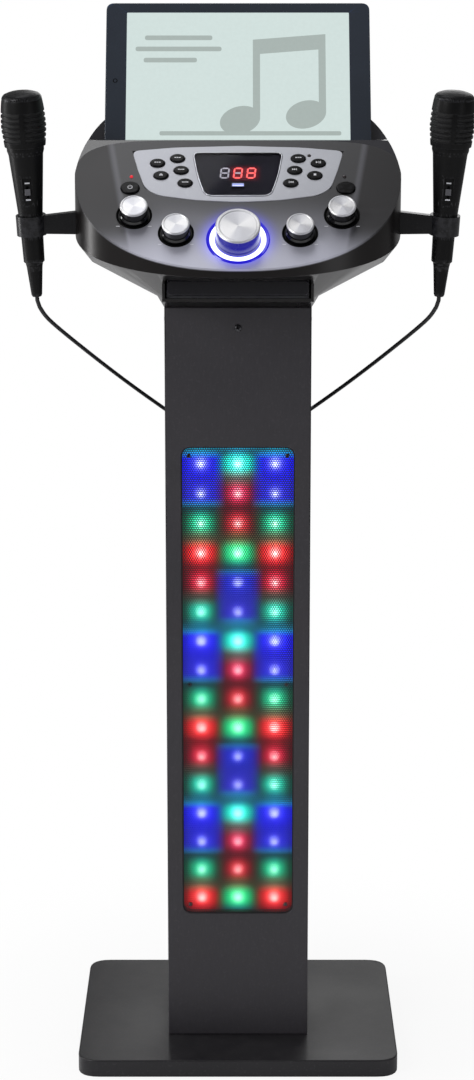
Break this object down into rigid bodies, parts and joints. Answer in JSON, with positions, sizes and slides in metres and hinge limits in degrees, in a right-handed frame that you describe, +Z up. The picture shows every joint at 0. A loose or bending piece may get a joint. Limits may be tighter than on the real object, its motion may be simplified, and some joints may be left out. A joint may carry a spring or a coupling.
{
  "type": "karaoke machine with disc tray",
  "caption": "Floor-standing karaoke machine: light-up speaker column on a flat base, sloping control head with front disc drawer, tablet in a groove and side microphones.",
  "frame": {"origin": "centre of the base plate's underside, on the floor", "axes": "+Z up, -Y towards the singer who faces the controls, +X to the singer's right"},
  "size_m": [0.446, 0.2939, 1.0517],
  "materials": {
    "base_board": "black laminate on board, satin",
    "column_board": "black laminate on board, fine texture",
    "dark_metal": "black zinc",
    "mesh_metal": "black perforated mesh",
    "lamp_board": "circuit board",
    "lamp_lens": "frosted lens, lit red, green or blue",
    "baffle_board": "raw fibreboard",
    "speaker_cone": "paper cone in a pressed frame",
    "skirt_plastic": "dark brown-grey satin",
    "face_plastic": "graphite satin",
    "rear_plastic": "black gloss",
    "silver_panel": "brushed silver",
    "smoked_window": "smoked clear",
    "digit_red": "lit red segments",
    "socket_metal": "bright metal",
    "ring_glow": "lit blue-white diffuser",
    "bezel_black": "black gloss",
    "lamp_red": "clear coloured lamp",
    "circuit_green": "circuit board",
    "socket_black": "black satin",
    "holder_black": "black satin",
    "frame_grey": "moulded grey",
    "gear_white": "acetal",
    "tray_grey": "moulded dark grey",
    "door_black": "black gloss",
    "spindle_metal": "turned",
    "knob_silver": "spun aluminium",
    "button_black": "black satin",
    "mic_black": "black satin",
    "mic_mesh": "black wire mesh",
    "switch_grey": "grey",
    "tablet_case": "blue-black",
    "tablet_glass": "lit pale screen",
    "lead_rubber": "black"
  },
  "bodies": {
    "stand": {"base_plate": "base_board", "column_front": "column_board", "column_shell": "column_board", "column_screws": "dark_metal", "grille_mesh": "mesh_metal", "lamp_board": "lamp_board", "lamp_lenses": "lamp_lens", "speaker_baffle": "baffle_board", "speaker": "speaker_cone", "lower_shell": "skirt_plastic", "upper_shell": "face_plastic", "rear_shell": "rear_plastic", "backrest": "rear_plastic", "button_panel": "silver_panel", "display_window": "smoked_window", "display_digits": "digit_red", "usb_socket": "socket_metal", "light_ring": "ring_glow", "knob_bezels": "bezel_black", "indicator_lamps": "lamp_red", "circuit_boards": "circuit_green", "rear_sockets": "socket_black", "left_mic_holder": "holder_black", "right_mic_holder": "holder_black", "drawer_frame": "frame_grey", "left_lead": "lead_rubber", "right_lead": "lead_rubber", "left_coil": "lead_rubber", "right_coil": "lead_rubber", "mic_plugs": "socket_black", "lead_clip": "holder_black"},
    "disc_drawer": {"disc_tray": "tray_grey", "tray_door": "door_black"},
    "drive_gear": {"drive_gear": "gear_white"},
    "disc_spindle": {"disc_spindle": "spindle_metal"},
    "left_outer_knob": {"left_outer_knob": "knob_silver"},
    "left_inner_knob": {"left_inner_knob": "knob_silver"},
    "main_volume_knob": {"main_volume_knob": "knob_silver"},
    "right_inner_knob": {"right_inner_knob": "knob_silver"},
    "right_outer_knob": {"right_outer_knob": "knob_silver"},
    "left_button_1": {"left_button_1": "button_black"},
    "left_button_2": {"left_button_2": "button_black"},
    "left_button_3": {"left_button_3": "button_black"},
    "left_button_4": {"left_button_4": "button_black"},
    "left_button_5": {"left_button_5": "button_black"},
    "right_button_1": {"right_button_1": "button_black"},
    "right_button_2": {"right_button_2": "button_black"},
    "right_button_3": {"right_button_3": "button_black"},
    "right_button_4": {"right_button_4": "button_black"},
    "right_button_5": {"right_button_5": "button_black"},
    "power_button": {"power_button": "button_black"},
    "open_button": {"open_button": "button_black"},
    "left_mic_switch": {"left_mic_switch": "switch_grey"},
    "right_mic_switch": {"right_mic_switch": "switch_grey"},
    "left_mic": {"left_mic_body": "mic_black", "left_mic_grille": "mic_mesh"},
    "right_mic": {"right_mic_body": "mic_black", "right_mic_grille": "mic_mesh"},
    "tablet": {"tablet_body": "tablet_case", "tablet_screen": "tablet_glass"}
  },
  "joints": [
    {"name": "drawer_slide", "type": "slide", "parent": "stand", "child": "disc_drawer", "axis": [0, -1, 0], "range_m": [0, 0.165]},
    {"name": "gear_turn", "type": "hinge", "parent": "stand", "child": "drive_gear", "pos_m": [0.041, -0.109, 0.789], "axis": [0, 0, 1], "range_deg": [-1060, 5]},
    {"name": "disc_spin", "type": "hinge", "parent": "stand", "child": "disc_spindle", "pos_m": [0, -0.064, 0.789], "axis": [0, 0, 1], "continuous": true},
    {"name": "left_outer_turn", "type": "hinge", "parent": "stand", "child": "left_outer_knob", "pos_m": [-0.0975, -0.11071, 0.86225], "axis": [0, -0.6756, 0.7373], "range_deg": [-150, 150]},
    {"name": "left_inner_turn", "type": "hinge", "parent": "stand", "child": "left_inner_knob", "pos_m": [-0.058, -0.12693, 0.84739], "axis": [0, -0.6756, 0.7373], "range_deg": [-150, 150]},
    {"name": "main_volume_turn", "type": "hinge", "parent": "stand", "child": "main_volume_knob", "pos_m": [0, -0.13246, 0.84232], "axis": [0, -0.6756, 0.7373], "range_deg": [-150, 150]},
    {"name": "right_inner_turn", "type": "hinge", "parent": "stand", "child": "right_inner_knob", "pos_m": [0.058, -0.12693, 0.84739], "axis": [0, -0.6756, 0.7373], "range_deg": [-150, 150]},
    {"name": "right_outer_turn", "type": "hinge", "parent": "stand", "child": "right_outer_knob", "pos_m": [0.0975, -0.11071, 0.86225], "axis": [0, -0.6756, 0.7373], "range_deg": [-150, 150]},
    {"name": "left_press_1", "type": "slide", "parent": "stand", "child": "left_button_1", "axis": [0, 0.6756, -0.7373], "range_m": [0, 0.001], "stiffness_N_per_m": 800},
    {"name": "left_press_2", "type": "slide", "parent": "stand", "child": "left_button_2", "axis": [0, 0.6756, -0.7373], "range_m": [0, 0.001], "stiffness_N_per_m": 800},
    {"name": "left_press_3", "type": "slide", "parent": "stand", "child": "left_button_3", "axis": [0, 0.6756, -0.7373], "range_m": [0, 0.001], "stiffness_N_per_m": 800},
    {"name": "left_press_4", "type": "slide", "parent": "stand", "child": "left_button_4", "axis": [0, 0.6756, -0.7373], "range_m": [0, 0.001], "stiffness_N_per_m": 800},
    {"name": "left_press_5", "type": "slide", "parent": "stand", "child": "left_button_5", "axis": [0, 0.6756, -0.7373], "range_m": [0, 0.001], "stiffness_N_per_m": 800},
    {"name": "right_press_1", "type": "slide", "parent": "stand", "child": "right_button_1", "axis": [0, 0.6756, -0.7373], "range_m": [0, 0.001], "stiffness_N_per_m": 800},
    {"name": "right_press_2", "type": "slide", "parent": "stand", "child": "right_button_2", "axis": [0, 0.6756, -0.7373], "range_m": [0, 0.001], "stiffness_N_per_m": 800},
    {"name": "right_press_3", "type": "slide", "parent": "stand", "child": "right_button_3", "axis": [0, 0.6756, -0.7373], "range_m": [0, 0.001], "stiffness_N_per_m": 800},
    {"name": "right_press_4", "type": "slide", "parent": "stand", "child": "right_button_4", "axis": [0, 0.6756, -0.7373], "range_m": [0, 0.001], "stiffness_N_per_m": 800},
    {"name": "right_press_5", "type": "slide", "parent": "stand", "child": "right_button_5", "axis": [0, 0.6756, -0.7373], "range_m": [0, 0.001], "stiffness_N_per_m": 800},
    {"name": "power_press", "type": "slide", "parent": "stand", "child": "power_button", "axis": [0, 0.6756, -0.7373], "range_m": [0, 0.001], "stiffness_N_per_m": 800},
    {"name": "open_press", "type": "slide", "parent": "stand", "child": "open_button", "axis": [0, 0.6756, -0.7373], "range_m": [0, 0.001], "stiffness_N_per_m": 800},
    {"name": "left_mic_lift", "type": "slide", "parent": "stand", "child": "left_mic", "axis": [-0.052, -0.1045, 0.9932], "range_m": [0, 0.12]},
    {"name": "left_switch_slide", "type": "slide", "parent": "left_mic", "child": "left_mic_switch", "axis": [-0.052, -0.1045, 0.9932], "range_m": [0, 0.004]},
    {"name": "right_mic_lift", "type": "slide", "parent": "stand", "child": "right_mic", "axis": [0.052, -0.1045, 0.9932], "range_m": [0, 0.12]},
    {"name": "right_switch_slide", "type": "slide", "parent": "right_mic", "child": "right_mic_switch", "axis": [0.052, -0.1045, 0.9932], "range_m": [0, 0.004]},
    {"name": "tablet_lift", "type": "slide", "parent": "stand", "child": "tablet", "axis": [0, 0.5, 0.866], "range_m": [0, 0.12]}
  ],
  "couplings": [
    {"joint": "gear_turn", "follows": "drawer_slide", "rad_per_m": -111.11}
  ]
}
